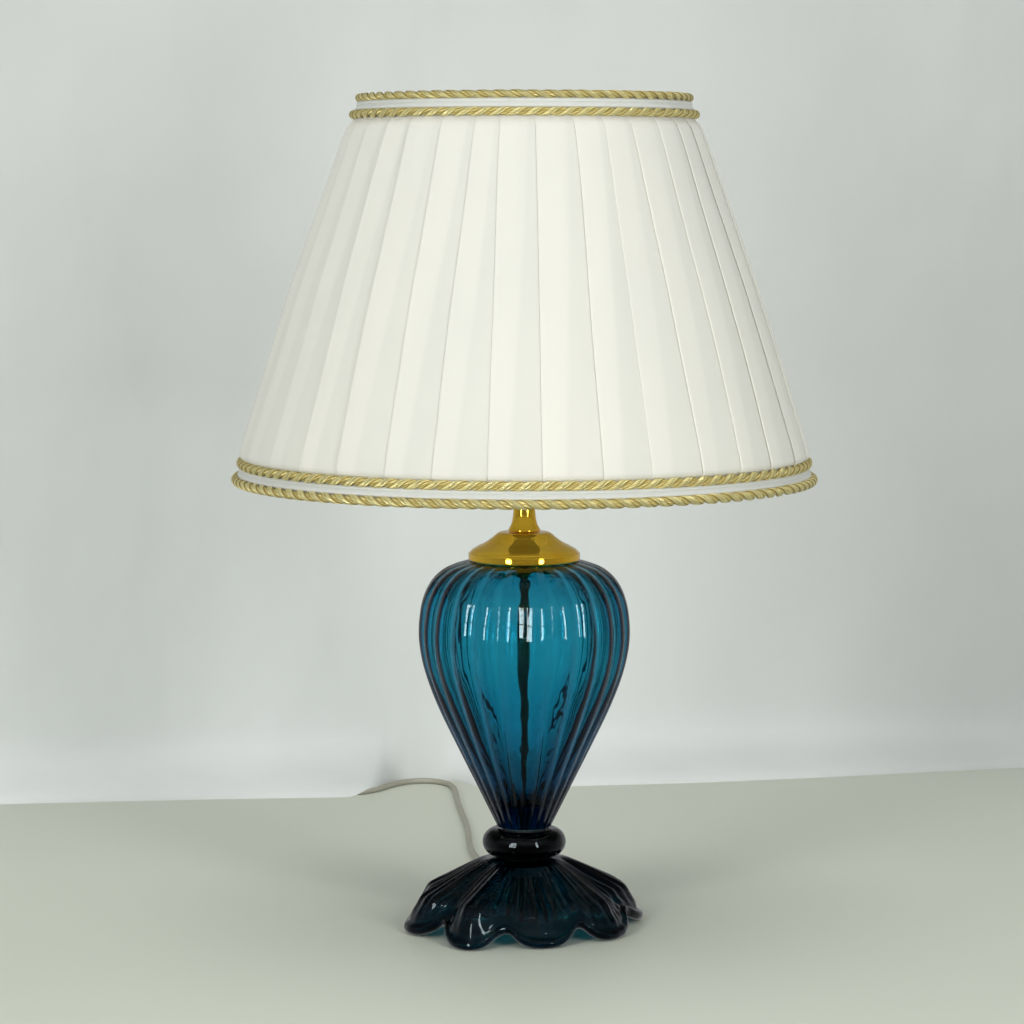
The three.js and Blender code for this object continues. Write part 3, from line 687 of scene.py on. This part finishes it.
def make_foot(material):
    fall = smooth(SKIRT, 30)

    def section(angle):
        reach, height = rim_at(angle)
        low = height + RIM_ROUND
        outer = reach - RIM_ROUND
        bulge = (reach - MIDDLE_REACH) / 8
        outside = []
        for out, up in fall:
            radius = FOOT_CROWN_RADIUS + (outer - FOOT_CROWN_RADIUS) * out
            swell = out**0.7 * (1 - out**12)
            wander = 3.5 * noise.noise(Vector((4 * math.cos(angle), 4 * math.sin(angle), out * 0.6)))
            ridge = FINE_RIB_HEIGHT * swell * math.cos(FINE_RIBS * angle + wander)
            uneven = noise.noise(Vector((6 * math.cos(angle), 6 * math.sin(angle), out)))
            ridge += RIPPLE * swell * uneven + LOBE_SWELL * swell * bulge
            ridge -= LIP * math.exp(-((out - 0.9) / 0.06) ** 2)
            outside.append((radius + 0.4 * ridge, low + (FOOT_TOP - low) * up + ridge))
        inside = []
        for out, up in fall:
            radius = FOOT_CROWN_RADIUS - 3 + (outer - 1.2 - FOOT_CROWN_RADIUS) * out
            z = low + (FOOT_TOP - low) * up - FOOT_WALL * (1 - 0.3 * out)
            ridge = 0.4 * out * (1 - out**4) * math.cos(FINE_RIBS * angle + 1.5)
            ridge += LOBE_SWELL * out**0.7 * (1 - out**12) * bulge
            inside.append((radius, max(z + ridge, height + 0.4)))
        # The rim's roll, from the outside round below to the inside.
        roll = arc((outer, low), RIM_ROUND, 62, -165, 14)
        return [(GLASS_HOLE, FOOT_TOP), *outside[:-2], *roll, *reversed(inside[:-3]),
                (GLASS_HOLE, FOOT_TOP - FOOT_WALL)]

    foot = loft("ruffled_foot", 540, section, material, 80)
    finish_piece(foot, "base", "dark_glass", "glass_foot")


# ---- Brass ----

CAP_DOME = [(10.4, 243.1), (14.6, 243), (16.8, 241.9), (19.5, 239.6), (23.5, 236.8), (28.5, 234.2),
            (31.8, 232.2), (33.2, 230.6)]
NECK_SIDE = [(9.6, NECK_BOTTOM + 0.2), (9.75, 244.3), (9.2, 245.4), (8.2, 247.2), (7.3, 250.4),
             (6.7, 255), (6.4, 261), (6.4, NECK_TOP)]
BRASS_HOLE = 5.3


def make_brass(material):
    cap = turned("brass_dome", [
        (BRASS_HOLE, 243.1), *smooth(CAP_DOME, 36), *arc((33.1, 229.8), 0.8, 60, -20, 6),
        (CAP_RADIUS, 229.2), (CAP_RADIUS, CAP_BOTTOM + 0.5), (CAP_RADIUS - 0.4, CAP_BOTTOM),
        (CAP_RADIUS - 1.1, CAP_BOTTOM), (CAP_RADIUS - 1.1, 229), (24, 234.9), (12.6, 241.4),
        (BRASS_HOLE, 241.9),
    ], 160, material, 35)
    finish_piece(cap, "base", "brass", "brass_cap")
    neck = turned("brass_bell_neck", [
        (BRASS_HOLE, NECK_BOTTOM), (9.3, NECK_BOTTOM), *smooth(NECK_SIDE, 30), (BRASS_HOLE, NECK_TOP),
    ], 96, material, 50)
    finish_piece(neck, "base", "brass", "brass_neck")


def make_tube(material):
    tube = turned("screwed_tube", [(3.5, 22), (5, 22), (5, 283), (3.5, 283)], 48, material)
    finish_piece(tube, "base", "brass", "threaded_tube")


teal = teal_glass()
deep_teal = dark_glass()
gilt = polished_brass()
make_body(teal)
make_knop(deep_teal)
make_foot(deep_teal)
make_brass(gilt)
make_tube(threaded_brass())

# ---- Shade ----

UNDERLAP_SHARE = (0.30, 0.78)  # of a pleat, at the shade's foot and at its top
# How far a fold's edge stands off the liner, by share of the shade's height.
STAND_OFF = [(0, 1.2), (0.05, 2.2), (0.066, 7.4), (0.1, 8.1), (0.25, 8.7), (0.4, 8.9), (0.53, 8.7),
             (0.68, 7.7), (0.89, 6.3), (0.925, 5.4), (0.945, 2.2), (1, 1.2)]
LAYER = 0.34  # between one layer of cloth and the next
SINK = 0.95  # how far a pleat falls from its edge to where it passes under the next


def liner_radius(z):
    share = (z - SHADE_BOTTOM) / (SHADE_TOP - SHADE_BOTTOM)
    return LINER_BOTTOM_RADIUS + (LINER_TOP_RADIUS - LINER_BOTTOM_RADIUS) * share


def between(table, x):
    """The value at x in a table of (x, value) pairs, in straight steps."""
    for (x0, y0), (x1, y1) in zip(table, table[1:]):
        if x <= x1:
            return y0 + (y1 - y0) * (x - x0) / (x1 - x0)
    return table[-1][1]


def pleat_path(underlap, lean, belly):
    """One knife pleat across: (place in pleats from its fold's edge, depth below the edge)."""
    path = [(0, 0.1), (0.012, 0), (0.035, -0.05)]
    for i in range(1, 11):  # the face, from its edge down to the next pleat
        u = i / 10
        path.append((u, SINK * u**1.2 - belly * math.sin(math.pi * u) + lean * u))
    reach = 1 + underlap
    path += [(1 + 0.5 * underlap, SINK + 0.4 + lean), (reach - 0.04, SINK + LAYER + lean),
             (reach, SINK + 1.2 * LAYER), (reach - 0.03, SINK + 0.75 * LAYER)]
    path += [(1 + 0.5 * underlap, SINK), (1.06, SINK - 0.1), (1.012, SINK - 0.12), (0.999, SINK - 0.2),
             (0.994, SINK * 0.55), (0.994, SINK * 0.3)]
    return path


FIRST_FOLD = 0.62  # of a pleat, from the first fold to the shade's front


def make_cover(material):
    """The pleated cloth, in one piece. Each pleat draws its own edge, lean and fullness."""
    low_edges = [dice.uniform(-0.09, 0.09) for _ in range(PLEATS)]
    high_edges = [dice.uniform(-0.15, 0.15) for _ in range(PLEATS)]
    leans = [dice.uniform(-0.25, 0.3) for _ in range(PLEATS)]
    bellies = [dice.uniform(-0.25, 0.55) for _ in range(PLEATS)]
    start = FRONT - FIRST_FOLD * TAU / PLEATS
    vertices, uvs = [], []
    free_rows = [0.1 + 0.8 * i / 33 for i in range(34)]  # between the trims
    shares = [0, 0.03, 0.05, 0.058, 0.066, 0.075, 0.085, *free_rows,
              0.915, 0.925, 0.935, 0.945, 0.97, 1.0]
    for share in shares:
        z = SHADE_BOTTOM + 0.4 + (SHADE_TOP - SHADE_BOTTOM - 0.8) * share
        liner = liner_radius(z)
        off = between(STAND_OFF, share)
        free = min(1.0, max(0.12, (off - 1.2) / 6))
        underlap = UNDERLAP_SHARE[0] + (UNDERLAP_SHARE[1] - UNDERLAP_SHARE[0]) * share
        edges = []
        for k in range(PLEATS):
            wander = 0.05 * noise.noise(Vector((k * 3.7, share * 2.5, 0.5)))
            edges.append(low_edges[k] + (high_edges[k] - low_edges[k]) * share + wander)
        for k in range(PLEATS):
            for u, depth in pleat_path(underlap, leans[k], bellies[k]):
                near = edges[k] * (1 - u) + edges[(k + 1) % PLEATS] * u
                angle = start + TAU * (k + u + near) / PLEATS
                uneven = noise.noise(Vector((6 * math.cos(angle), 6 * math.sin(angle), z / 60)))
                radius = liner + 0.5 + max(off - depth * free, 0.1) + 0.45 * free * uneven
                vertices.append((radius * math.cos(angle), radius * math.sin(angle), z))
                uvs.append((u, share))
    count = len(vertices) // len(shares)
    faces = ring_faces(len(shares), count, False)
    cover = mesh_object("pleated_cover", vertices, faces, material, 75, outward=False)
    layer = cover.data.uv_layers.new(name="pleat")
    for loop in cover.data.loops:
        layer.data[loop.index].uv = uvs[loop.vertex_index]
    finish_piece(cover, "shade", "fabric", "shade_pleated_cover")
    return cover


def make_liner(material):
    film = 0.8
    low, high = SHADE_BOTTOM, SHADE_TOP
    liner = turned("film_liner", [
        (liner_radius(low), low), (liner_radius(high), high),
        (liner_radius(high) - film, high), (liner_radius(low) - film, low),
    ], 192, material, 30)
    finish_piece(liner, "shade", "liner", "shade_liner")


STRAND_WIDE, STRAND_THICK = 2.25, 1.6  # half sizes of one strand across the cord
STRAND_OUT = 1.45  # from the cord's middle to a strand's
STRAND_STEPS = 14  # along one turn of the twist


def make_twisted_cord(name, node, z, turns, hand, seam, size, material):
    """Two strands laid round each other into a ring. hand is 1 or -1, and seam the angle where the
    ends meet, the later one proud of the other."""
    steps, sides = turns * STRAND_STEPS, 12
    ring = liner_radius(z) + TRIM_STAND_OFF * size
    for strand in range(2):
        vertices, uvs, grooves = [], [], []
        for j in range(steps):
            angle = TAU * j / steps
            past = (angle - seam) % TAU
            proud = 0.7 * math.exp(-past / 0.12) - 0.4 * math.exp(-(TAU - past) / 0.05)
            roll = hand * turns * angle + math.pi * strand
            wobble = 0.12 * noise.noise(Vector((9 * math.cos(angle), 9 * math.sin(angle), z)))
            out_x = ring + proud + wobble + STRAND_OUT * size * math.cos(roll)
            out_z = z + 0.3 * proud + wobble + STRAND_OUT * size * math.sin(roll)
            for i in range(sides):
                turn = TAU * i / sides
                thick = STRAND_THICK * size * math.cos(turn)
                wide = STRAND_WIDE * size * math.sin(turn)
                # The strand's flat lies across the line from the cord's middle.
                r = out_x + thick * math.cos(roll) - wide * math.sin(roll)
                h = out_z + thick * math.sin(roll) + wide * math.cos(roll)
                vertices.append((r * math.cos(angle), r * math.sin(angle), h))
                uvs.append((j / STRAND_STEPS * 2, i / sides))
                grooves.append((math.cos(turn), abs(math.sin(turn))))
        made = mesh_object(f"{name}_strand_{strand + 1}", vertices, ring_faces(steps, sides),
                           material, 80)
        for label, values in (("yarn", uvs), ("groove", grooves)):
            layer = made.data.uv_layers.new(name=label)
            for loop in made.data.loops:
                layer.data[loop.index].uv = values[loop.vertex_index]
        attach(made, "shade")
    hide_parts(node)


def make_tape(name, node, low, out, material):
    """The white tape between two cords, as two round ridges that lie out millimetres off the liner."""
    edge = 1.7  # from a cord's middle to the tape
    ridge_spacing, ridge_round = 1.5, 1.3
    high = low + TRIM_SPACING
    bottom, top = low + edge, high - edge
    middle = (bottom + top) / 2
    profile = [(0, bottom)]
    for ridge in (-1, 1):
        profile += arc((0.2, middle + ridge * ridge_spacing), ridge_round, -65, 65, 8)
    profile.append((0, top))
    made = turned(name, [(liner_radius(z) + out + r, z) for r, z in profile], 192, material, 60)
    finish_piece(made, "shade", "white_tape", node)


def make_trims(yarn, tape):
    low = SHADE_BOTTOM + 1
    high = SHADE_TOP - 0.4 - TRIM_SPACING
    seam = math.radians(-31)
    make_twisted_cord("bottom_lower", "bottom_trim_lower_cord", low, 53, -1, seam, 0.96, yarn)
    make_twisted_cord("bottom_upper", "bottom_trim_upper_cord", low + TRIM_SPACING, 52, 1, seam, 0.96,
                      yarn)
    make_tape("bottom_tape", "bottom_trim_tape", low, 3.7, tape)
    seam = math.radians(-33)
    make_twisted_cord("top_lower", "top_trim_lower_cord", high, 33, 1, seam, 0.84, yarn)
    make_twisted_cord("top_upper", "top_trim_upper_cord", high + TRIM_SPACING, 32, -1, seam, 0.78, yarn)
    make_tape("top_tape", "top_trim_tape", high, 3.0, tape)


make_liner(liner_film())
cover = make_cover(pleated_fabric())
make_trims(gold_yarn(), woven_tape())

# ---- Shade frame, lampholder and bulb ----

WIRE_RADIUS = 1.6
# Each wire ring's name, part, radius and height.
WIRE_RINGS = [("bottom_wire", "shade_bottom_wire", 165.2, 278.8),
              ("top_wire", "shade_top_wire", 91.9, 503)]
SLEEVE_RADIUS = 19.2
THREAD_BOTTOM, THREAD_PITCH = 292.5, 4.2
RING_HOLE = 19.5  # of the shade rings and their washer


def make_frame(paint):
    for name, node, radius, z in WIRE_RINGS:
        made = turned(name, arc((radius, z), WIRE_RADIUS, 0, 330, 11), 144, paint, 60)
        finish_piece(made, "shade", "white_metal", node)
    hub = turned("hub_ring", [(20.4, 308.2), (20.8, 308), (26.6, 308), (27, 308.4), (27, 309.4),
                              (26.6, 309.8), (20.8, 309.8), (20.4, 309.4)], 72, paint, 60)
    finish_piece(hub, "shade", "white_metal", "shade_hub_ring")


def make_holder(black, steel):
    side = [(12.6, 268.4), (16, 271), (18.4, 276), (SLEEVE_RADIUS, 283), (SLEEVE_RADIUS, 287.7)]
    cup = turned("smooth_holder_cup", [
        (BRASS_HOLE, 268.3), (12, 268.3), *smooth(side, 16),
        (17.6, 287.7), (17.6, 283), (15, 273.5), (11, 270.3), (BRASS_HOLE, 270.3),
    ], 64, black, 50)
    finish_piece(cup, "base", "black_plastic", "holder_cup")
    thread = []
    for i in range(8):
        z = THREAD_BOTTOM + THREAD_PITCH * i
        thread += [(SLEEVE_RADIUS, z), (18.6, z + 0.9), (18.6, z + 1.7), (SLEEVE_RADIUS, z + 2.6)]
    sleeve = turned("threaded_sleeve", [
        (17.2, 288), (SLEEVE_RADIUS, 288), *thread, (SLEEVE_RADIUS, 330), (17.2, 330),
    ], 64, black, 30)
    finish_piece(sleeve, "base", "black_plastic", "holder_sleeve")

    def knurled(name, node, bottom, top, outer, body):
        def section(angle):
            grip = outer - 0.5 * (0.5 + 0.5 * math.cos(36 * angle))
            return [(RING_HOLE, bottom), (outer - 1, bottom), (grip, bottom + 0.6), (grip, top - 0.6),
                    (outer - 1, top), (RING_HOLE, top)]
        finish_piece(loft(name, 216, section, black, 40), body, "black_plastic", node)

    knurled("lower_shade_ring", "shade_ring_lower", 303.2, 307.7, 24, "base")
    knurled("upper_shade_ring", "shade_ring_upper", 311.4, 317, 24.6, "ring")
    washer = turned("flat_washer", [(RING_HOLE, 310.1), (25, 310.1), (25, 311.1), (RING_HOLE, 311.1)],
                    72, steel)
    finish_piece(washer, "ring_slide", "zinc_steel", "ring_washer")


def make_bulb(opal, white):
    globe = turned("round_bulb", [
        (0, 353.7), (22, 353.7), *smooth([(22.3, 353.9), (24.4, 357), (27.5, 364.8)], 10)[:-1],
        *arc((0, 377), 30, -24, 88, 30), (0, 407),
    ], 96, opal, 50)
    finish_piece(globe, "bulb", "opal_glass", "bulb_globe")
    flare = smooth([(13.3, 328), (14.6, 331), (17.6, 342), (22.3, 353.2)], 20)
    collar = turned("bulb_housing", [(0, 327.8), (13.2, 327.8), *flare, (0, 353.4)], 72, white, 50)
    finish_piece(collar, "bulb", "white_plastic", "bulb_collar")


white_paint = plastic("white_paint", (0.86, 0.86, 0.83), 0.35, 300, 0.00004)
zinc = metal("zinc_plate", (0.62, 0.63, 0.64), 0.34)
opal_glass = plastic("opal_glass", (0.9, 0.89, 0.86), 0.16, 200, 0.00001, Coat_Weight=0.4)
white_plastic = plastic("white_moulding", (0.86, 0.85, 0.83), 0.4)
make_frame(white_paint)
make_holder(black_plastic, zinc)
make_bulb(opal_glass, white_plastic)

# ---- Small parts that keep their CAD shapes ----

def paint_nodes(material, *names):
    """Gives CAD parts that stay in view as they are a procedural material."""
    for name in names:
        data = nodes[name].data
        data.materials.clear()
        data.materials.append(material)


rubber = plastic("black_rubber", (0.018, 0.018, 0.019), 0.75, 500, 0.00006)
# Painted shade: the clear seat washers between the glass parts are coloured dark for the shade there.
washer_in_painted_shade = plastic("painted_shade_washer", (0.10, 0.16, 0.17), 0.3, Transmission_Weight=0.5)
porcelain = plastic("porcelain", (0.8, 0.78, 0.72), 0.5, 400)
contact_brass = metal("contact_brass", (0.8, 0.58, 0.24), 0.28)

paint_nodes(lead_plastic, "plug_relief", "inner_lead")
paint_nodes(black_plastic, "cord_outlet", "strain_relief", "coil_tie")
paint_nodes(zinc, "foot_washer", "foot_nut", "switch_pin", "switch_screw_left", "switch_screw_right",
            "bulb_contact")
paint_nodes(contact_brass, "holder_screw_shell", "holder_contact", "switch_contacts", "plug_pin_left",
            "plug_pin_right", "bulb_screw_shell")
paint_nodes(rubber, "foot_gasket", "bulb_insulator")
paint_nodes(washer_in_painted_shade, "foot_seat_washer", "body_seat_washer")
paint_nodes(porcelain, "holder_insulator")
paint_nodes(white_paint, "shade_arm_1", "shade_arm_2", "shade_arm_3")

# ---- Floor, backdrop and light ----

def make_floor():
    """A pale satin table top that mirrors nothing sharply and isn't mirrored."""
    material, shader = new_material("table_top", (0.626, 0.67, 0.575), 0.42)
    clouds = noise_of(material, place(material), 2.2, 2)
    tone = ramp(material, clouds, [(0.3, (0.616, 0.66, 0.566)), (0.7, (0.638, 0.682, 0.588))])
    join_nodes(material, tone, shader.inputs["Base Color"])
    half = 3000
    corners = [(-half, -half, 0), (half, -half, 0), (half, half, 0), (-half, half, 0)]
    floor = mesh_object("floor", corners, [(0, 1, 2, 3)], material, outward=False)
    floor.visible_glossy = False


# The line of the cloth's hem on the table, from left to right, as (x, y). At x -113 the lead goes
# under it, and it is lifted there. Right of that it passes behind the lead's bend.
HEM = [(-1500, 250), (-700, 352), (-383, 398), (-253, 415), (-170, 423), (-140, 425), (-122, 428),
       (-113, 436), (-107, 454), (-102, 476), (-94, 492), (-80, 497), (-60, 497), (-45, 485),
       (-34, 470), (-20, 464), (59, 475), (135, 487), (229, 509), (392, 553), (800, 640), (1500, 800)]
LIFTED_AT, LIFTED_WIDTH, LIFT = -113, 9, 4.6
HANG_Y, HANG_X, HANG_SLOPE = 433, -383, 0.2013  # the straight line that the cloth follows higher up
HEM_FADE = 18  # the height over which the hem's line goes over into the straight one
CLOTH_HEIGHT = 2000


def backdrop_cloth():
    """Pale matt cloth that can't be seen from behind."""
    material, shader = new_material("backdrop_cloth", (0.62, 0.65, 0.645), 0.9)
    # Soft blotches of tone: uneven cloth, and partly painted shade for its soft folds.
    clouds = noise_of(material, stretched(material, place(material), (1, 1, 0.6)), 2.4, 3)
    tone = ramp(material, clouds, [(0.32, (0.54, 0.565, 0.56)), (0.68, (0.66, 0.685, 0.68))])
    # Painted shade: the cloth is darker towards the top and the right, for how the light falls off.
    at = axes_of(material, place(material))
    painted_falloff = combined(material, "MULTIPLY", spread(material, at["Z"], 1.1, 0.80),
                     spread(material, at["X"], 1.06, 0.84, -0.5, 0.6))
    graded = add_node(material, "ShaderNodeVectorMath", operation="SCALE")
    join_nodes(material, tone, graded.inputs[0])
    join_nodes(material, painted_falloff, graded.inputs["Scale"])
    join_nodes(material, graded.outputs["Vector"], shader.inputs["Base Color"])
    creases = noise_of(material, stretched(material, place(material), (1, 1, 0.45)), 4.5, 4, 0.45)
    bumped(material, shader, creases, 0.05, 0.6)
    clear = add_node(material, "ShaderNodeBsdfTransparent")
    side = add_node(material, "ShaderNodeNewGeometry")
    join_nodes(material, side.outputs["Backfacing"], shader_mix(material, shader, clear))
    return material


def make_backdrop(material):
    """A cloth that hangs just behind the lamp."""
    vertices, faces = [], []
    rows = 60
    line = [(x, y) for x, y, _ in smooth([(x, y, 0) for x, y in HEM], 640)]
    for x, hem_y in line:
        hang = HANG_Y + (x - HANG_X) * HANG_SLOPE
        over_lead = LIFT * math.exp(-((x - LIFTED_AT) / LIFTED_WIDTH) ** 2)
        for j in range(rows + 1):
            z = 0.4 + over_lead + CLOTH_HEIGHT * (j / rows) ** 2
            fade = math.exp(-(z / HEM_FADE) ** 2)
            wave = 16 * min(1, z / 400) * noise.noise(Vector((x / 240, z / 700, 3)))
            vertices.append((x, hem_y * fade + hang * (1 - fade) + wave, z))
    for i in range(len(line) - 1):
        for j in range(rows):
            a = i * (rows + 1) + j
            faces.append((a, a + rows + 1, a + rows + 2, a + 1))
    backdrop = mesh_object("backdrop", vertices, faces, material, 60, outward=False)
    backdrop.visible_glossy = False


def area_light(name, place_at, target, width, height, power, color):
    """A soft rectangular light that the camera doesn't see. Metres and watts."""
    data = bpy.data.lights.new(name, "AREA")
    data.shape = "RECTANGLE"
    data.size = width
    data.size_y = height
    data.energy = power
    data.color = color
    light = bpy.data.objects.new(name, data)
    light.location = place_at
    light.rotation_euler = (Vector(place_at) - Vector(target)).to_track_quat("Z", "Y").to_euler()
    light.visible_camera = False
    bpy.context.scene.collection.objects.link(light)
    return light


WINDOWS_AWAY = 2.4


def make_window(name, azimuth, width, bottom, top, panes, power):
    """A tall window in front of the lamp, as panes one over the other. Azimuth is in degrees to the
    right of the camera's side."""
    daylight = (1.0, 0.99, 0.965)
    bar = 0.05  # between two panes
    x = WINDOWS_AWAY * math.sin(math.radians(azimuth))
    y = -WINDOWS_AWAY * math.cos(math.radians(azimuth))
    step = (top - bottom) / panes
    for i in range(panes):
        z = bottom + step * (i + 0.5)
        area_light(f"{name}_{i + 1}", (x, y, z), (0, 0, z), width, step - bar, power / panes, daylight)


def make_world():
    """Soft light from all round, dimmer from the camera's side of the room."""
    world = bpy.data.worlds.new("room")
    bpy.context.scene.world = world
    world.use_nodes = True
    back = world.node_tree.nodes["Background"]
    back.inputs["Strength"].default_value = 1.0
    toward = axes_of(world, place(world, "Generated"))
    side = spread(world, toward["Y"], 0, 1, -1)
    shades = ramp(world, side, [(0.0, (0.07, 0.072, 0.072)), (0.35, (0.28, 0.29, 0.29)),
                                (0.7, (0.62, 0.64, 0.64))])
    # Reflections see a dim room with a ceiling that is bright in front of the lamp only.
    height = spread(world, toward["Z"], 0, 1, 0.15, 0.5)
    room_seen = ramp(world, side, [(0.1, (0.07, 0.072, 0.072)), (0.5, (0.22, 0.225, 0.225)),
                                   (0.9, (0.38, 0.39, 0.39))])
    ceiling_seen = ramp(world, side, [(0.1, (0.5, 0.51, 0.51)), (0.4, (0.22, 0.23, 0.23)),
                                      (0.55, (0.05, 0.052, 0.052))])
    path = add_node(world, "ShaderNodeLightPath")
    reflected = mixed(world, room_seen, ceiling_seen, height)
    around = mixed(world, shades, reflected, path.outputs["Is Glossy Ray"])
    # Past the cloth's edges the camera sees one pale tone.
    blend = add_node(world, "ShaderNodeMix", data_type="RGBA")
    blend.inputs[7].default_value = (0.62, 0.64, 0.62, 1)
    join_nodes(world, path.outputs["Is Camera Ray"], blend.inputs["Factor"])
    join_nodes(world, around, blend.inputs[6])
    join_nodes(world, blend.outputs[2], back.inputs["Color"])


make_floor()
make_backdrop(backdrop_cloth())
make_world()
make_window("left_window", -32.5, 0.45, 0.0, 1.8, 4, 33)
make_window("right_window", 35, 0.38, 0.0, 1.8, 4, 31)
ceiling = area_light("ceiling", (0, -0.6, 2.6), (0, 0, 0), 2.6, 2.2, 26, (1.0, 1.0, 0.99))
ceiling.visible_glossy = False
bpy.context.scene.view_settings.view_transform = "Standard"

bpy.context.view_layer.update()
